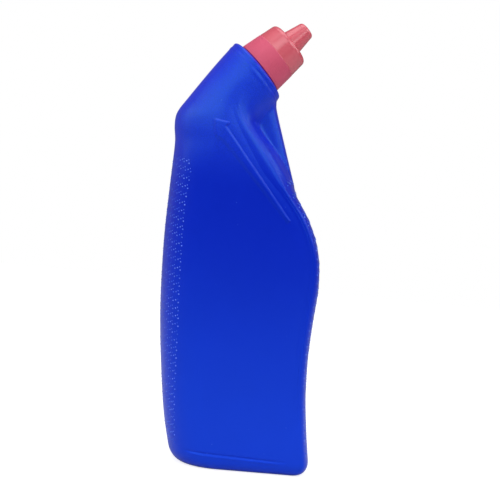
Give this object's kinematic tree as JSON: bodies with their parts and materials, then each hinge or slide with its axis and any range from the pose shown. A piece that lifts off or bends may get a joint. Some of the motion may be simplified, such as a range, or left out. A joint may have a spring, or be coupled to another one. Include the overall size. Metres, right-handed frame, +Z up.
{
  "type": "toilet cleaner bottle",
  "caption": "Flat blow-moulded squeeze bottle with a neck bent to the side, a nozzle insert and a screw cap with a hollow conical tip.",
  "frame": {"origin": "middle of the flat base, on the plane that it stands on", "axes": "+Z up along the body, +X towards the side that the neck leans to, Y across the thickness, square to the two wide faces"},
  "size_m": [0.0905, 0.0487, 0.2447],
  "materials": {
    "blue_bottle": "satin blow-moulded polyethylene",
    "white_insert": "satin polyethylene",
    "red_cap": "injection-moulded, textured skirt and polished top"
  },
  "bodies": {
    "bottle": {"bottle": "blue_bottle", "nozzle_insert": "white_insert"},
    "cap": {"cap": "red_cap"}
  },
  "joints": [
    {"name": "cap_lift", "type": "slide", "parent": "bottle", "child": "cap", "axis": [0.7071, 0, 0.7071], "range_m": [0, 0.045]}
  ]
}
